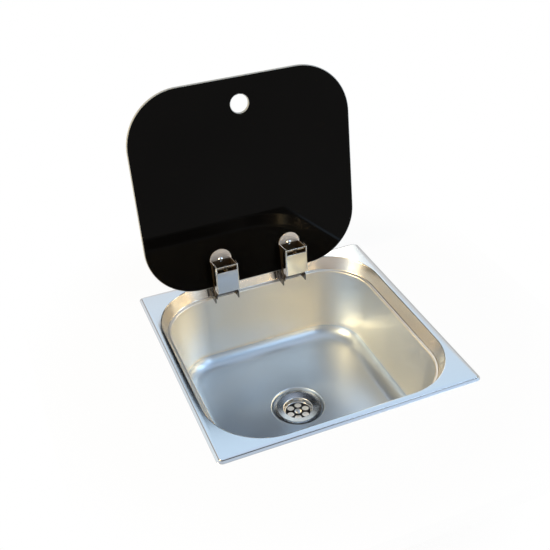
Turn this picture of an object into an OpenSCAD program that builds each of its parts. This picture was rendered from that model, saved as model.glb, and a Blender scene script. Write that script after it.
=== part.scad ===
// Drop-in sink with a hinged glass lid.
// Origin: centre of the opening, in the plane of the worktop. +X right, +Y back, +Z up.
// The lid and its hinge arms are drawn closed and then swung open about the hinge pins.

/* [Rim] */
// Width of the flat rim between the opening and the crease, at the middle of each side
rim_band = 8.5; // [7.5:0.5:20]
// Corner radius of the crease round the flat rim
crease_r = 4; // [2.5:0.5:8]
// Width of the stepped lip outside the crease
lip_w = 5.2; // [4.5:0.1:8]
// Height of the flat rim above the worktop
rim_h = 4; // [3.4:0.1:5]
// Thickness of the pressed sheet
sheet = 1; // [0.8:0.1:1.2]

/* [Bowl] */
// Width and depth of the opening, at the foot of its rounded edge
opening_w = 383; // [370:1:384]
// Corner radius of the opening
opening_r = 94; // [70:1:98]
// Radius of the opening's rounded edge
edge_r = 2.5; // [2:0.1:3]
// Depth of the ledge below the worktop
ledge_z = 19; // [16:1:24]
// Inset of the recess wall's foot from the opening
recess_inset = 8; // [7:0.5:10]
// Width of the ledge
ledge_w = 4.5; // [4.5:0.1:7]
// Depth of the bowl floor below the worktop
floor_z = 147; // [120:1:180]
// Lean of the bowl wall from upright, in degrees
wall_lean = 7.5; // [4:0.5:10]
// Radius between the wall and the floor
floor_r = 28; // [18:1:32]

/* [Waste] */
// Sideways place of the waste, from the middle of the bowl
waste_x = -3; // [-20:1:20]
// Width of the groove between the strainer flange and the floor
seat_gap = 4.5; // [3:0.5:11]
// Depth of the pressed seat
seat_depth = 5; // [4:0.5:8]
// Radius of the hole in the seat
waste_hole_r = 33; // [32.5:0.5:34]
// Outer radius of the strainer flange
flange_r = 40.5; // [38:0.5:41]
// Radius of the strainer's sunk cup
cup_r = 24; // [22:0.5:25]
// Depth of the grid below the top of the flange
grid_depth = 10; // [8:0.5:14]
// Radius of each hole in the grid
grid_hole_r = 5.8; // [4:0.1:6]
// Radius of the circle that the grid holes lie on
grid_circle_r = 14.3; // [13.5:0.1:14.5]
// Angle of the first grid hole, from the right
grid_turn = 8; // [0:1:59]
// Radius of the head of the strainer screw
strainer_head_r = 6.2; // [5:0.1:7]
// Outer radius of the waste body's barrel
barrel_r = 31; // [30.5:0.5:34]
// Length of the waste body's barrel
barrel_h = 30; // [26:1:50]
// Outer radius of the hose tail
tail_r = 12.5; // [10:0.5:12.5]
// Length of the hose tail's seat for the hose
tail_l = 26; // [20:1:60]

/* [Lid] */
// Thickness of the glass
glass_t = 5; // [4:0.5:6]
// Gap between the closed lid and the opening at the front and the sides
lid_gap = 3.5; // [3:0.5:5]
// Depth of the strip at the back that the closed lid leaves open
rear_strip = 29.5; // [29:0.5:33]
// Corner radius of the glass
lid_r = 90; // [60:1:94]
// Radius of the finger hole
finger_r = 15; // [10:0.5:18]
// Distance of the finger hole's centre from the front edge of the glass
finger_inset = 43.4; // [36:0.1:60]
// Angle between the closed and the open lid, in degrees
open_angle = 97.5; // [92:0.5:100]

/* [Hinges] */
// Distance of each hinge from the middle
hinge_x = 62.5; // [50:0.5:64]
// Distance of the hinge pin in front of the opening's back edge
pivot_inset = 19.8; // [19.6:0.1:20.2]
// Depth of the hinge pin below the worktop
pivot_z = 3; // [2.8:0.1:3.2]
// Radius of the hinge pin
pin_r = 3; // [2.5:0.1:3.2]
// Outer width of the hinge cover
cover_w = 38; // [34:0.5:40]
// Thickness of the hinge cover
cover_t = 1; // [0.8:0.1:1.2]
// Height of the open hinge cover's lower end above the lid's back edge
cover_low = 1; // [1:0.5:4]
// Height of the open hinge cover's upper end above the lid's back edge
cover_high = 52; // [50:0.5:56]
// Distance of the cover from the glass, at its lower end
cover_depth = 29; // [27:0.5:31]
// Lean of the cover away from the glass, in degrees
cover_lean = 5.3; // [3:0.1:6]
// Depth of the cover's two flanges
flange_depth = 12; // [9:0.5:13]
// Height of the slot near the top of the cover
slot_h = 8; // [4:0.5:9]
// Thickness of the hinge frame
frame_t = 1.2; // [1:0.1:1.5]
// Height of the round plate's centre above the lid's back edge
disc_up = 50; // [47:0.5:54]
// Radius of the round plates
disc_r = 19; // [17:0.5:20]
// Thickness of the bracket's cheeks
cheek_t = 1.6; // [1.2:0.1:2]
// Distance that the cheeks' tips reach in front of the hinge pin
cheek_reach = 13.4; // [12:0.1:14]
// Outer radius of the friction drum
drum_r = 7; // [6:0.1:7.5]
// Outer radius of the spring
spring_r = 4.6; // [4:0.1:5.5]
// Radius of the spring wire
wire_r = 0.6; // [0.4:0.05:0.7]
// Number of turns of the spring
spring_turns = 8; // [5:1:9]

/* [Fixings] */
// Thickness of the worktop that the clamps are set to
worktop_t = 28; // [26:1:34]
// Distance of each clamp from the middle of its side
clamp_y = 62; // [40:1:80]
// Radius of the clamp screws
clamp_screw_r = 2.5; // [2:0.1:3]

/* [Hidden] */
$fn = 64;
graze = 0.01;       // a bend's arc crosses its straights by this much, not just touching them

// Clearances
run_gap = 0.05;     // a bush on its pin
side_gap = 0.3;     // moving faces that pass side by side
drum_gap = 0.3;     // the shoe over the drum
stop_gap = 0.3;     // the stop studs, when the lid is fully open or closed

// Rim and opening
half_open = opening_w / 2;
half_rim = half_open + rim_band;
rim_core = half_rim - crease_r;
core = half_open - opening_r;
lip_drop = 1.6;
lip_bend_r = 1.1;
hem_w = 1.5;
rim_edge = half_open + edge_r;

// The section of the bowl, as corner points of its water side: distance past the core, height
recess_foot = half_open - recess_inset;
ledge_in = recess_foot - ledge_w;
floor_out = ledge_in - (floor_z - ledge_z) * tan(wall_lean);
section = [
    [0, -floor_z], [floor_out - core, -floor_z], [ledge_in - core, -ledge_z],
    [recess_foot - core, -ledge_z], [opening_r, rim_h], [rim_edge - core, rim_h]
];
ledge_in_r = 3;
ledge_out_r = 2.5;
recess_lean = atan((half_open - recess_foot) / (rim_h + ledge_z));

// Waste, measured down from the floor
seat_z = -floor_z - seat_depth;
seat_r = flange_r + seat_gap;
seat_flat_r = seat_r - 3;
washer_t = 1;
strainer_t = 1.2;
flange_z = seat_z + washer_t;
flange_top = flange_z + strainer_t;
cup_wall_r = cup_r - 2.2;
dish_drop = 2.4;
cup_bend_r = 1.5;
cup_lip_r = 2;
flange_bend_r = 10;
dish_out = flange_r - 5;
washer_in = dish_out + 1.5;
grid_z = flange_top - grid_depth;
under_seat = seat_z - sheet;
seal_t = 2;
body_top = under_seat - seal_t;
body_flange_t = 3;
body_flange_r = seat_flat_r - 2;
body_t = 2.5;
barrel_z = body_top - barrel_h;
outlet_r = 16;
outlet_bore_r = 11;
outlet_l = 16;
outlet_z = barrel_z - body_t - outlet_l;
boss_r = 6;
screw_r = 3;
insert_r = 4.4;
insert_h = 9;
boss_top = grid_z - strainer_t - 5;
tail_seal_t = 1.5;
tail_flange_t = 2.5;
tail_bore_r = tail_r - 2;
tail_neck_r = tail_r - 0.6;
tail_neck_l = 6;
tail_tip = 1;
nut_t = 3;
nut_h = 14;

// Hinge
pivot_y = half_open - pivot_inset;
lid_back = half_open - rear_strip;
lid_front = -half_open + lid_gap;
lid_w = opening_w - 2 * lid_gap;
lid_l = lid_back - lid_front;
lid_under = rim_h - glass_t;
pivot_up = -(pivot_y - lid_back);
pivot_off = lid_under + pivot_z;
cover_in = cover_w / 2 - cover_t;
frame_in = cover_in - frame_t;
bush_flange_t = 1.6;
cheek_in = cover_in + bush_flange_t + side_gap;
cheek_out = cheek_in + cheek_t;
plate_t = 1.5;
plate_low = 2.5;
plate_high = 21;
foot_w = 5.5;
foot_t = 1.2;
foot_r = 3;
boss_out = 9.3;
nose_z = -2.8;
cheek_low = -15.5;
lug_r = 9.5;
bush_r = 5;
pin_head_r = 5;
pin_head_t = 1.8;
stud_r = 1.3;
stud_h = 1.4;
stud_at = 11.2;
stud_angle = 300;
stud_step = 2 * asin((2 * stud_r + stop_gap) / (2 * stud_at));
gasket_t = 1.5;
disc_t = 3;
outer_gasket_t = 1;
glass_hole_r = 6.5;
disc_boss_r = 5;
disc_screw_r = 2.5;
shoe_r = 5;
cross_r = 1.75;
cross_head_r = 2.75;
cross_head_t = 1.2;
shoe_line = 24.5;
low_reach = 26.1;
high_reach = cover_high + 9;
along_line = [cos(shoe_line), sin(shoe_line)];
low_pin = [pivot_up, pivot_off] + low_reach * along_line;
high_pin = [pivot_up, pivot_off] + high_reach * along_line;
shoe_end = low_reach + 4;
collar_end = high_reach - cross_r - 2;

frame_low = 22;
cover_tan = tan(cover_lean);
cover_len = (cover_high - cover_low) / cos(cover_lean);
cover_corner_r = 2.5;
slot_edge = 2;
slot_margin = 3;
collar_t = 2;
guide_r = 2.6;
guide_eye_r = 3.4;
disc_hole_r = disc_screw_r + 0.25;
disc_head_r = 4.75;
disc_head_h = 2.8;
boss_reach = 1.2;

// Rivets of the brackets
rivet_x = 11;
rivet_up = 9;
rivet_r = 1.6;
rivet_head_r = 3;
rivet_head_t = 1;

// Seal and clamps
seal_in = rim_edge + 0.5;
seal_out = half_rim - 0.8;
clamp_w = 24;
clamp_t = 2;
clamp_drop = 18;
clamp_up = 20;
clamp_at = half_rim + lip_w - 4.5;
pad_r = 4.2;
pad_t = 3;
clamp_head_h = 4;

// Shapes

// A square of half-width h with round corners
module round_square(h, r) {
    square([2 * h, 2 * (h - r)], center = true);
    square([2 * (h - r), 2 * h], center = true);
    for (x = [-1, 1], y = [-1, 1]) translate([x * (h - r), y * (h - r)]) circle(r);
}

// A rectangle of half-width a and half-depth b with round corners
module round_rect(a, b, r) {
    square([2 * a, 2 * (b - r)], center = true);
    square([2 * (a - r), 2 * b], center = true);
    for (x = [-1, 1], y = [-1, 1]) translate([x * (a - r), y * (b - r)]) circle(r);
}

module ring(r_out, r_in) {
    difference() {
        circle(r_out);
        circle(r_in);
    }
}

function unit(v) = v / norm(v);
function right_of(v) = [v[1], -v[0]];
function turn(a, b) = a[0] * b[1] - a[1] * b[0];
function dir_in(p, i) = unit(p[i] - p[i - 1]);
function dir_out(p, i) = unit(p[i + 1] - p[i]);
// Length of straight that a bend of radius r takes off each side of corner i
function setback(p, i, r) = r * tan(acos(dir_in(p, i) * dir_out(p, i)) / 2);
// The side of the path that the bend's centre is on: 1 is right, -1 is left
function bend_side(p, i) = turn(dir_in(p, i), dir_out(p, i)) > 0 ? -1 : 1;
function bend_centre(p, i, r) =
    p[i] - dir_in(p, i) * setback(p, i, r) + right_of(dir_in(p, i)) * bend_side(p, i) * r;

// Corner i of the path p, moved through the sheet to its other face
function back_corner(p, i, t) =
    let (a = right_of(i > 0 ? dir_in(p, i) : dir_out(p, i)))
    let (b = right_of(i < len(p) - 1 ? dir_out(p, i) : dir_in(p, i)))
    p[i] + (a + b) * t / (1 + a * b);

// Where the arc of radius a round the centre of the bend at corner i meets the two straights
function arc_ends(p, i, r, a) =
    let (c = bend_centre(p, i, r), s = setback(p, i, r))
    [c + unit(p[i] - dir_in(p, i) * s - c) * a, c + unit(p[i] + dir_out(p, i) * s - c) * a];

// What the sheet's corner i has outside the arc of radius a
module corner_tip(p, i, r, a, t) {
    c = bend_centre(p, i, r);
    ends = arc_ends(p, i, r, a + t);
    middle = (ends[0] + ends[1]) / 2 - c;
    difference() {
        polygon([c, ends[0], c + middle * pow((a + t) / norm(middle), 2), ends[1]]);
        translate(c) circle(a + graze);
    }
}

// Bent sheet along the path p, on its right, with the face radius of each corner in radii
module bent_sheet(p, radii, t) {
    last = len(p) - 1;
    bends = [1 : last - 1];
    inner = [0, for (i = bends) bend_side(p, i) > 0 ? radii[i - 1] - t : radii[i - 1]];
    face = [for (i = [0 : last]) each i % last == 0 || bend_side(p, i) > 0
        ? [p[i]] : arc_ends(p, i, radii[i - 1], inner[i])];
    back = [for (i = [0 : last]) each i % last == 0 || bend_side(p, i) < 0
        ? [back_corner(p, i, t)] : arc_ends(p, i, radii[i - 1], inner[i])];
    difference() {
        polygon([each face, for (i = [len(back) - 1 : -1 : 0]) back[i]]);
        for (i = bends) translate(bend_centre(p, i, radii[i - 1])) circle(inner[i] + graze);
        for (i = bends) corner_tip(p, i, radii[i - 1], inner[i] + t, t);
    }
}

// Carries a section round a square core of half-width c. It is drawn as distance past the core
// and height.
module round_sweep(c) {
    for (q = [0 : 3]) rotate(90 * q) translate([c, c, 0]) {
        rotate([90, 0, 0]) linear_extrude(2 * c) children();
        rotate_extrude(angle = 90) children();
    }
}

// Extrudes a side view, drawn in Y and Z, from x0 to x1
module along_x(x0, x1) {
    translate([x0, 0, 0]) rotate([90, 0, 90]) linear_extrude(x1 - x0) children();
}

module x_rod(x0, x1, r) {
    translate([x0, 0, 0]) rotate([0, 90, 0]) cylinder(r = r, h = x1 - x0);
}

// Side view on the closed lid: first up from the back edge, then out from the inner face
module on_lid() {
    translate([lid_back, lid_under]) rotate(180) children();
}

module swing_open() {
    translate([0, pivot_y, -pivot_z]) rotate([-open_angle, 0, 0]) translate([0, -pivot_y, pivot_z])
        children();
}

module hinge(side) {
    translate([side * hinge_x, 0, 0]) children();
}

module both_hinges() {
    for (side = [-1, 1]) hinge(side) children();
}

// A place inside the closed arm, on the line from the pin out through the shoe
module on_shoe_line(reach) {
    translate([0, pivot_y, -pivot_z]) rotate([shoe_line, 0, 0]) translate([0, -reach, 0])
        rotate([90, 0, 0]) children();
}

// A place on the closed lid, facing down into the bowl
module at_disc() {
    translate([0, lid_back - disc_up, lid_under]) children();
}

// Sink

module rim_section() {
    bent_sheet([
        [0, rim_h], [crease_r + 0.5, rim_h], [crease_r + 1.3, rim_h - lip_drop],
        [crease_r + lip_w, sheet]
    ], [lip_bend_r, lip_bend_r * 0.6], sheet);
    translate([crease_r + lip_w - hem_w, 0]) square([hem_w, sheet]);
}

module seat_section() {
    bent_sheet([
        [waste_hole_r, seat_z], [seat_flat_r, seat_z], [seat_r, -floor_z], [seat_r + 4, -floor_z]
    ], [1.5, 2.5], sheet);
}

// A place on the recess wall's face at the back, with Z up the wall and -Y toward the water
module on_recess_wall(up) {
    translate([0, recess_foot, -ledge_z]) rotate([-recess_lean, 0, 0]) translate([0, 0, up]) children();
}

module rivet_places() {
    both_hinges() for (x = [-1, 1]) translate([x * rivet_x, 0, 0])
        on_recess_wall(rivet_up) children();
}

module bowl() {
    color("lightsteelblue") difference() {
        union() {
            round_sweep(core) bent_sheet(section, [floor_r, ledge_in_r, ledge_out_r, edge_r], sheet);
            translate([0, 0, -floor_z - sheet]) linear_extrude(sheet) difference() {
                square(2 * core, center = true);
                translate([waste_x, 0]) circle(seat_r + 4);
            }
            translate([waste_x, 0, 0]) rotate_extrude() seat_section();
            round_sweep(rim_core) rim_section();
            translate([0, 0, rim_h - sheet]) linear_extrude(sheet) difference() {
                square(2 * rim_core, center = true);
                round_square(rim_edge, rim_edge - core);
            }
        }
        rivet_places() rotate([90, 0, 0]) cylinder(r = rivet_r, h = 6, center = true);
    }
}

module rim_seal() {
    color("dimgray") linear_extrude(rim_h - sheet) difference() {
        round_square(seal_out, crease_r - 0.8);
        round_square(seal_in, seal_in - core);
    }
}

// Distance out to the wall's outer side at height z, below the ledge
function wall_out(z) = ledge_in + (z + ledge_z) * tan(wall_lean) + sheet / cos(wall_lean);

module clamp_places() {
    for (side = [-1, 1], y = [-1, 1]) translate([0, y * clamp_y, 0]) scale_side(side) children();
}

module scale_side(side) {
    mirror([side < 0 ? 1 : 0, 0, 0]) children();
}

module clamp_brackets() {
    leg_z = -worktop_t - clamp_drop;
    color("silver") clamp_places() difference() {
        translate([0, clamp_w / 2, 0]) rotate([90, 0, 0]) linear_extrude(clamp_w) bent_sheet([
            [clamp_at + pad_r, leg_z], [wall_out(leg_z), leg_z],
            [wall_out(leg_z + clamp_up), leg_z + clamp_up]
        ], [2 * clamp_t], clamp_t);
        translate([clamp_at, 0, leg_z - 1]) cylinder(r = clamp_screw_r, h = clamp_t + 2);
    }
}

module clamp_screws() {
    top = -worktop_t - pad_t;
    low = -worktop_t - 2 * clamp_drop;
    color("gainsboro") clamp_places() translate([clamp_at, 0, 0]) {
        translate([0, 0, low]) cylinder(r = clamp_screw_r, h = top - low);
        translate([0, 0, low - clamp_head_h]) cylinder(r = 1.8 * clamp_screw_r, h = clamp_head_h, $fn = 6);
    }
}

module clamp_pads() {
    color("black") clamp_places() translate([clamp_at, 0, -worktop_t - pad_t])
        cylinder(r = pad_r, h = pad_t);
}

// Waste

module at_waste() {
    translate([waste_x, 0, 0]) children();
}

module tube(r_out, r_in, z, h) {
    translate([0, 0, z]) linear_extrude(h) ring(r_out, r_in);
}

module strainer() {
    color("silver") at_waste() difference() {
        rotate_extrude() bent_sheet([
            [0, grid_z], [cup_wall_r, grid_z], [cup_r, flange_top - dish_drop],
            [dish_out, flange_top], [flange_r, flange_top]
        ], [cup_bend_r, cup_lip_r, flange_bend_r], strainer_t);
        for (a = [0 : 60 : 300]) rotate(a + grid_turn) translate([grid_circle_r, 0, grid_z - 2 * strainer_t])
            cylinder(r = grid_hole_r, h = 3 * strainer_t);
        translate([0, 0, grid_z - 2 * strainer_t]) cylinder(r = screw_r, h = 3 * strainer_t);
    }
}

module strainer_screw() {
    dome_h = 3;
    dome_r = (pow(strainer_head_r, 2) + pow(dome_h, 2)) / (2 * dome_h);
    insert_low = boss_top - insert_h;
    color("gainsboro") at_waste() {
        difference() {
            intersection() {
                translate([0, 0, grid_z]) cylinder(r = strainer_head_r, h = dome_h + 1);
                translate([0, 0, grid_z + dome_h - dome_r]) sphere(dome_r);
            }
            translate([0, 0, grid_z + dome_h]) rotate(35)
                cube([3 * strainer_head_r, 1.4, 3], center = true);
        }
        translate([0, 0, insert_low - 1]) cylinder(r = screw_r, h = grid_z - insert_low + 1);
    }
}

module strainer_washer() {
    color("black") at_waste() tube(flange_r - 0.5, washer_in, seat_z, washer_t);
}

module waste_seal() {
    color("black") at_waste() tube(body_flange_r, waste_hole_r + 1, body_top, seal_t);
}

module waste_body() {
    rib_z = boss_top - insert_h;
    color("white") at_waste() {
        tube(body_flange_r, barrel_r - body_t, body_top - body_flange_t, body_flange_t);
        tube(barrel_r, barrel_r - body_t, barrel_z, barrel_h - body_flange_t);
        tube(barrel_r, outlet_bore_r, barrel_z - body_t, body_t);
        tube(outlet_r, outlet_bore_r, outlet_z, outlet_l);
        tube(boss_r, insert_r, rib_z, insert_h);
        tube(boss_r, screw_r + 0.3, rib_z - 3, 3);
        for (a = [0 : 60 : 300]) rotate(a) translate([boss_r - 0.5, -1, rib_z - 3])
            cube([barrel_r - body_t - boss_r + 1, 2, insert_h]);
    }
}

module screw_insert() {
    color("goldenrod") at_waste() tube(insert_r, screw_r, boss_top - insert_h, insert_h);
}

module tail_seal() {
    color("black") at_waste()
        tube(outlet_r - 0.5, outlet_bore_r + 0.5, outlet_z - tail_seal_t, tail_seal_t);
}

module hose_tail() {
    flange_low = outlet_z - tail_seal_t - tail_flange_t;
    seat_low = flange_low - tail_neck_l - tail_l;
    low = seat_low - tail_tip;
    color("whitesmoke") at_waste() difference() {
        union() {
            translate([0, 0, flange_low]) cylinder(r = outlet_r - 0.5, h = tail_flange_t);
            translate([0, 0, seat_low]) cylinder(r = tail_neck_r, h = tail_neck_l + tail_l);
            translate([0, 0, seat_low]) cylinder(r = tail_r, h = tail_l);
            translate([0, 0, low]) cylinder(r1 = tail_r - tail_tip, r2 = tail_r, h = tail_tip);
        }
        translate([0, 0, low - 1]) cylinder(r = tail_bore_r, h = outlet_z - low);
    }
}

module hose_nut() {
    nut_low = outlet_z - tail_seal_t - tail_flange_t - nut_t;
    color("white") at_waste() {
        tube(outlet_r + 4, outlet_r, nut_low + nut_t, nut_h - nut_t);
        tube(outlet_r + 4, tail_r + 0.3, nut_low, nut_t);
        for (a = [0 : 45 : 315]) rotate(a) translate([outlet_r + 3.5, -1.5, nut_low])
            cube([2.5, 3, nut_h]);
    }
}

// Hinges, fixed side

// In the side view, the point that is up the recess wall by this much, half way into the plate
function in_plate(up) = [
    recess_foot + up * sin(recess_lean) - plate_t / 2 * cos(recess_lean),
    -ledge_z + up * cos(recess_lean) + plate_t / 2 * sin(recess_lean)
];

module stud_2d(angle) {
    translate([pivot_y, -pivot_z]) rotate(angle) translate([stud_at, 0]) circle(stud_r);
}

module cheek_side() {
    polygon([
        in_plate(plate_low + 0.3), [pivot_y - cheek_reach, cheek_low],
        [pivot_y - cheek_reach, nose_z], [pivot_y, nose_z], [pivot_y + 7, boss_out - pivot_z - 3.3],
        in_plate(plate_high - 0.3)
    ]);
    translate([pivot_y, -pivot_z]) circle(boss_out);
}

module bracket() {
    difference() {
        union() {
            for (s = [-1, 1]) scale_side(s) {
                along_x(cheek_in, cheek_out) cheek_side();
                along_x(cheek_in - stud_h, cheek_in) {
                    stud_2d(stud_angle - open_angle - stud_step);
                    stud_2d(stud_angle + stud_step);
                }
                on_recess_wall(plate_low) translate([cheek_out, 0, 0]) difference() {
                    translate([0, -foot_t - foot_r, 0])
                        cube([foot_w, foot_t + foot_r, plate_high - plate_low]);
                    translate([foot_r - 0.15, -foot_t - foot_r, -1]) {
                        cylinder(r = foot_r, h = plate_high);
                        translate([0, -foot_r, 0]) cube([2 * foot_w, 2 * foot_r, plate_high]);
                    }
                }
            }
            on_recess_wall(plate_low) translate([-cheek_out, -plate_t, 0])
                cube([2 * cheek_out, plate_t, plate_high - plate_low]);
        }
        translate([0, pivot_y, -pivot_z]) x_rod(-2 * cheek_out, 2 * cheek_out, pin_r);
        for (x = [-1, 1]) translate([x * rivet_x, 0, 0]) on_recess_wall(rivet_up)
            rotate([90, 0, 0]) cylinder(r = rivet_r, h = 6, center = true);
    }
}

module bracket_rivets() {
    color("silver") rivet_places() rotate([90, 0, 0]) {
        translate([0, 0, -sheet]) cylinder(r = rivet_r, h = sheet + plate_t);
        translate([0, 0, plate_t]) cylinder(r = rivet_head_r, h = rivet_head_t);
        translate([0, 0, -sheet - rivet_head_t]) cylinder(r = rivet_head_r, h = rivet_head_t);
    }
}

module pivot_pin() {
    translate([0, pivot_y, -pivot_z]) {
        x_rod(-cheek_out, cheek_out, pin_r);
        for (s = [-1, 1]) scale_side(s) x_rod(cheek_out, cheek_out + pin_head_t, pin_head_r);
    }
}

module drum() {
    half = frame_in - side_gap;
    translate([0, pivot_y, -pivot_z]) difference() {
        x_rod(-half, half, drum_r);
        x_rod(-half - 1, half + 1, pin_r);
    }
}

// Hinges, moving side, drawn closed

// The frame walls' front edge, clear of the cover's inner corners: distance from the glass at
// height t above the back edge
function wall_edge(t) = cover_depth + (t - cover_low) * cover_tan - cover_corner_r / cos(cover_lean);

module frame_side() {
    corner = [cover_low, wall_edge(cover_low)];
    lug = [pivot_up, pivot_off];
    to_corner = corner - lug;
    touch = atan2(to_corner[1], to_corner[0]) + acos(lug_r / norm(to_corner));
    on_lid() {
        polygon([
            [disc_up, gasket_t], [cover_high - 0.4, wall_edge(cover_high - 0.4)], corner,
            lug + lug_r * [cos(touch), sin(touch)], lug, [pivot_up + lug_r - 0.5, gasket_t]
        ]);
        translate(lug) circle(lug_r);
    }
    stud_ear();
}

module stud_ear() {
    translate([pivot_y, -pivot_z]) rotate(stud_angle) translate([0, -stud_r - 0.7])
        square([stud_at + stud_r, 2 * stud_r + 1.4]);
}

module low_slot() {
    travel = 2.4;
    translate([lid_back - low_pin[0], lid_under - low_pin[1]]) rotate(180 + shoe_line) {
        for (s = [-1, 1]) translate([s * travel / 2, 0]) circle(cross_r + run_gap);
        square([travel, 2 * (cross_r + run_gap)], center = true);
    }
}

module frame() {
    difference() {
        union() {
            for (s = [-1, 1]) scale_side(s) {
                along_x(frame_in, cover_in) frame_side();
                along_x(cover_in, cover_in + stud_h) stud_2d(stud_angle);
            }
            at_disc() translate([0, 0, -gasket_t - frame_t]) linear_extrude(frame_t) {
                circle(disc_r);
                translate([-cover_in, 0]) square([2 * cover_in, disc_up - frame_low]);
            }
        }
        translate([0, pivot_y, -pivot_z]) x_rod(-cover_w, cover_w, bush_r);
        translate([0, lid_back - high_pin[0], lid_under - high_pin[1]]) x_rod(-cover_w, cover_w, cross_r);
        along_x(-cover_w, cover_w) low_slot();
        at_disc() cylinder(r = disc_hole_r, h = 4 * (gasket_t + frame_t), center = true);
    }
}

module cover() {
    half = cover_w / 2;
    difference() {
        translate([0, lid_back - cover_low, lid_under - cover_depth]) rotate([90 + cover_lean, 0, 0])
            difference() {
                linear_extrude(cover_len) bent_sheet([
                    [half, flange_depth], [half, 0], [-half, 0], [-half, flange_depth]
                ], [cover_corner_r, cover_corner_r], cover_t);
                translate([-half + slot_margin, -1, cover_len - slot_edge - slot_h])
                    cube([cover_w - 2 * slot_margin, cover_t + 2, slot_h]);
            }
        translate([0, lid_back - high_pin[0], lid_under - high_pin[1]]) x_rod(-cover_w, cover_w, cross_r);
    }
}

module pivot_bushes() {
    color("whitesmoke") swing_open() both_hinges() for (s = [-1, 1]) scale_side(s)
        translate([0, pivot_y, -pivot_z]) difference() {
            union() {
                x_rod(frame_in, cover_in, bush_r);
                x_rod(cover_in, cover_in + bush_flange_t, bush_r + 3);
            }
            x_rod(0, cover_w, pin_r + run_gap);
        }
}

module cross_pin(place, wide) {
    translate([0, lid_back - place[0], lid_under - place[1]]) {
        x_rod(-wide, wide, cross_r);
        for (s = [-1, 1]) scale_side(s) x_rod(wide, wide + cross_head_t, cross_head_r);
    }
}

module cross_pins() {
    color("silver") swing_open() both_hinges() {
        cross_pin(low_pin, cover_in);
        cross_pin(high_pin, cover_w / 2);
    }
}

module shoe() {
    difference() {
        on_shoe_line(drum_r + drum_gap) cylinder(r = shoe_r, h = shoe_end - drum_r - drum_gap);
        translate([0, lid_back - low_pin[0], lid_under - low_pin[1]]) x_rod(-cover_w, cover_w, cross_r);
        on_shoe_line(shoe_end - collar_t) cylinder(r = guide_r + run_gap, h = 10);
    }
}

module guide() {
    difference() {
        union() {
            on_shoe_line(shoe_end - collar_t + 0.2) cylinder(r = guide_r, h = high_reach - shoe_end);
            on_shoe_line(collar_end - collar_t) cylinder(r = spring_r, h = collar_t);
            on_shoe_line(collar_end) cylinder(r = guide_eye_r, h = high_reach + cross_r + 1.5 - collar_end);
        }
        translate([0, lid_back - high_pin[0], lid_under - high_pin[1]]) x_rod(-cover_w, cover_w, cross_r);
    }
}

// One open coil of round wire between the shoe and the guide's collar
module spring() {
    rings = 8;
    sides = 6;
    total = rings * spring_turns;
    rise = collar_end - collar_t - shoe_end - 2 * wire_r;
    turn_r = spring_r - wire_r;
    slope = atan(rise / (2 * PI * turn_r * spring_turns));
    points = [
        for (i = [0 : total], k = [0 : sides - 1])
            let (a = 360 * i / rings, b = 360 * k / sides)
            let (out = turn_r + wire_r * cos(b), up = wire_r * sin(b))
            [
                out * cos(a) + up * sin(slope) * sin(a),
                out * sin(a) - up * sin(slope) * cos(a),
                wire_r + rise * i / total + up * cos(slope)
            ]
    ];
    sleeve = [
        for (i = [0 : total - 1], k = [0 : sides - 1])
            let (a = i * sides + k, b = i * sides + (k + 1) % sides)
            each [[a, b + sides, b], [a, a + sides, b + sides]]
    ];
    start = [for (k = [1 : sides - 2]) [0, k, k + 1]];
    last = total * sides;
    end = [for (k = [1 : sides - 2]) [last, last + k + 1, last + k]];
    least = min([
        for (i = [0 : total - rings / 2], j = [i + rings / 2 : min(total, i + 2 * rings)])
            for (k = [0 : sides - 1], m = [0 : sides - 1])
                norm(points[i * sides + k] - points[j * sides + m])
    ]);
    echo(least_gap_between_turns = least);
    on_shoe_line(shoe_end) polyhedron(points, concat(sleeve, start, end));
}

// Lid

module lid_glass() {
    color("black") swing_open() translate([0, 0, lid_under]) linear_extrude(glass_t) difference() {
        translate([0, (lid_front + lid_back) / 2]) round_rect(lid_w / 2, lid_l / 2, lid_r);
        translate([0, lid_front + finger_inset]) circle(finger_r);
        for (side = [-1, 1]) translate([side * hinge_x, lid_back - disc_up]) circle(glass_hole_r);
    }
}

module disc_screws() {
    dome_r = (pow(disc_head_r, 2) + pow(disc_head_h, 2)) / (2 * disc_head_h);
    seat = gasket_t + frame_t;
    color("gainsboro") swing_open() both_hinges() at_disc() {
        difference() {
            intersection() {
                translate([0, 0, -seat - disc_head_h - 1]) cylinder(r = disc_head_r, h = disc_head_h + 1);
                translate([0, 0, dome_r - seat - disc_head_h]) sphere(dome_r);
            }
            translate([0, 0, -seat - disc_head_h - 1]) cylinder(r = 1.8, h = 2.4, $fn = 6);
        }
        translate([0, 0, -seat]) cylinder(r = disc_screw_r, h = seat + glass_t + outer_gasket_t + 1.6);
    }
}

module glass_gaskets() {
    color("dimgray") swing_open() both_hinges() at_disc() difference() {
        union() {
            translate([0, 0, -gasket_t]) linear_extrude(gasket_t) {
                circle(disc_r - 0.6);
                translate([-cover_in + 0.6, 0]) square([2 * cover_in - 1.2, disc_up - frame_low - 0.6]);
            }
            cylinder(r = glass_hole_r, h = glass_t);
        }
        translate([0, 0, -5]) cylinder(r = disc_boss_r, h = 20);
    }
}

module outer_gaskets() {
    color("dimgray") swing_open() both_hinges() at_disc()
        tube(disc_r - 0.6, disc_boss_r, glass_t, outer_gasket_t);
}

module outer_discs() {
    low = glass_t + outer_gasket_t;
    color("silver") swing_open() both_hinges() at_disc() difference() {
        union() {
            translate([0, 0, low]) cylinder(r = disc_r, h = disc_t - 1);
            translate([0, 0, low + disc_t - 1]) cylinder(r1 = disc_r, r2 = disc_r - 1.6, h = 1);
            translate([0, 0, -boss_reach]) cylinder(r = disc_boss_r, h = low + boss_reach);
        }
        translate([0, 0, -boss_reach - 1]) cylinder(r = disc_screw_r, h = low + boss_reach + 2.8);
    }
}

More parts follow.
